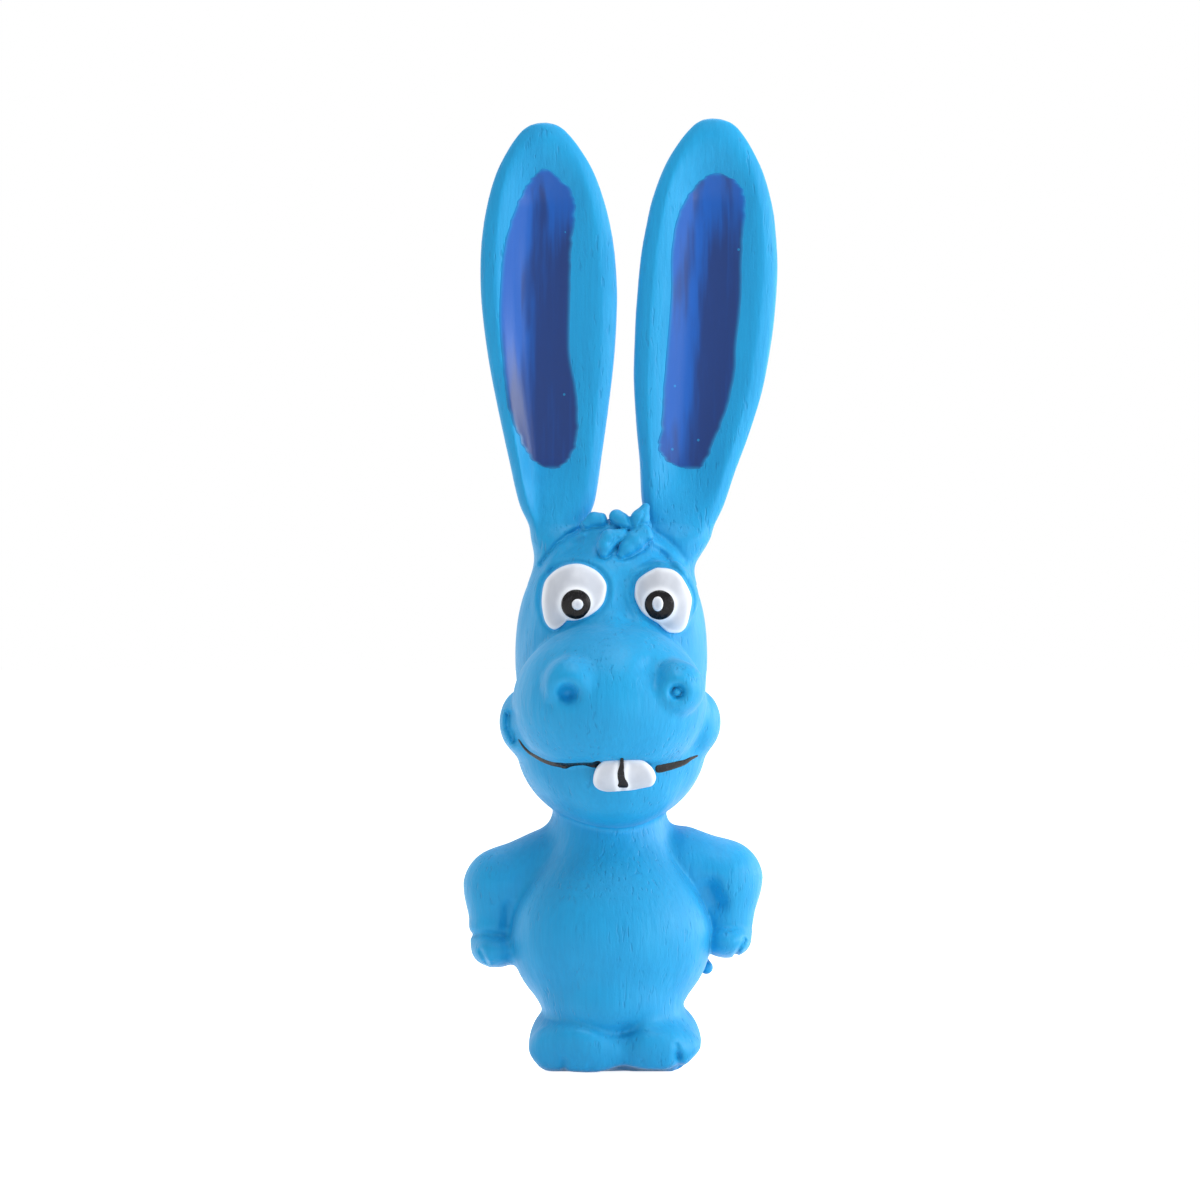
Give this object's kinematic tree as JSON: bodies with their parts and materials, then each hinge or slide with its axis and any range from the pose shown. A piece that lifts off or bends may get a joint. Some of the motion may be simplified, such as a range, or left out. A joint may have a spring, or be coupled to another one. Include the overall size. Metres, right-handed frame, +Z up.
{
  "type": "squeaky dog toy",
  "caption": "Stuffed latex squeaky dog toy: a standing long-eared donkey with painted eyes, teeth and ear hollows, bendy ears and a bulb squeaker in its belly.",
  "frame": {"origin": "middle of the round latex disc in the sole, on the plane that the toy stands on", "axes": "+Z up through the head and ears, -Y the way the face looks, +X the animal's left side"},
  "size_m": [0.0725, 0.0581, 0.22],
  "materials": {
    "latex_skin": "matte",
    "navy_paint": "satin",
    "white_paint": "satin",
    "black_paint": "gloss",
    "stuffing_fibre": "matte",
    "bulb_vinyl": "satin",
    "reed_plastic": "satin"
  },
  "bodies": {
    "toy": {"torso_skin": "latex_skin", "head_skin": "latex_skin", "left_arm": "latex_skin", "right_arm": "latex_skin", "left_foot": "latex_skin", "right_foot": "latex_skin", "tail": "latex_skin", "forelock": "latex_skin", "base_disc": "latex_skin", "left_eye_white": "white_paint", "right_eye_white": "white_paint", "left_eye_dot": "white_paint", "right_eye_dot": "white_paint", "teeth": "white_paint", "left_pupil": "black_paint", "right_pupil": "black_paint", "front_wad": "stuffing_fibre", "back_wad": "stuffing_fibre", "head_wad": "stuffing_fibre", "bulb_fold": "bulb_vinyl", "bulb_back": "bulb_vinyl", "reed_tube": "reed_plastic", "reed_block": "reed_plastic"},
    "left_ear": {"left_ear": "latex_skin", "left_ear_paint": "navy_paint"},
    "right_ear": {"right_ear": "latex_skin", "right_ear_paint": "navy_paint"},
    "bulb_front": {"bulb_front": "bulb_vinyl"},
    "reed": {"reed": "reed_plastic"}
  },
  "joints": [
    {"name": "left_ear_bend", "type": "hinge", "parent": "toy", "child": "left_ear", "pos_m": [0.0148, 0.004, 0.1225], "axis": [0.9956, 0, -0.0941], "range_deg": [-35, 40], "stiffness_Nm_per_rad": 0.08},
    {"name": "right_ear_bend", "type": "hinge", "parent": "toy", "child": "right_ear", "pos_m": [-0.0126, 0.004, 0.1225], "axis": [0.9993, 0, 0.0384], "range_deg": [-35, 40], "stiffness_Nm_per_rad": 0.08},
    {"name": "belly_squeeze", "type": "slide", "parent": "toy", "child": "bulb_front", "axis": [0, 1, 0], "range_m": [0, 0.006], "stiffness_N_per_m": 300, "deforming": ["bulb_fold"]},
    {"name": "reed_flutter", "type": "hinge", "parent": "toy", "child": "reed", "pos_m": [-0.0005, 0.0076, 0.03122], "axis": [-1, 0, 0], "range_deg": [-1.5, 6], "stiffness_Nm_per_rad": 0.0002}
  ]
}
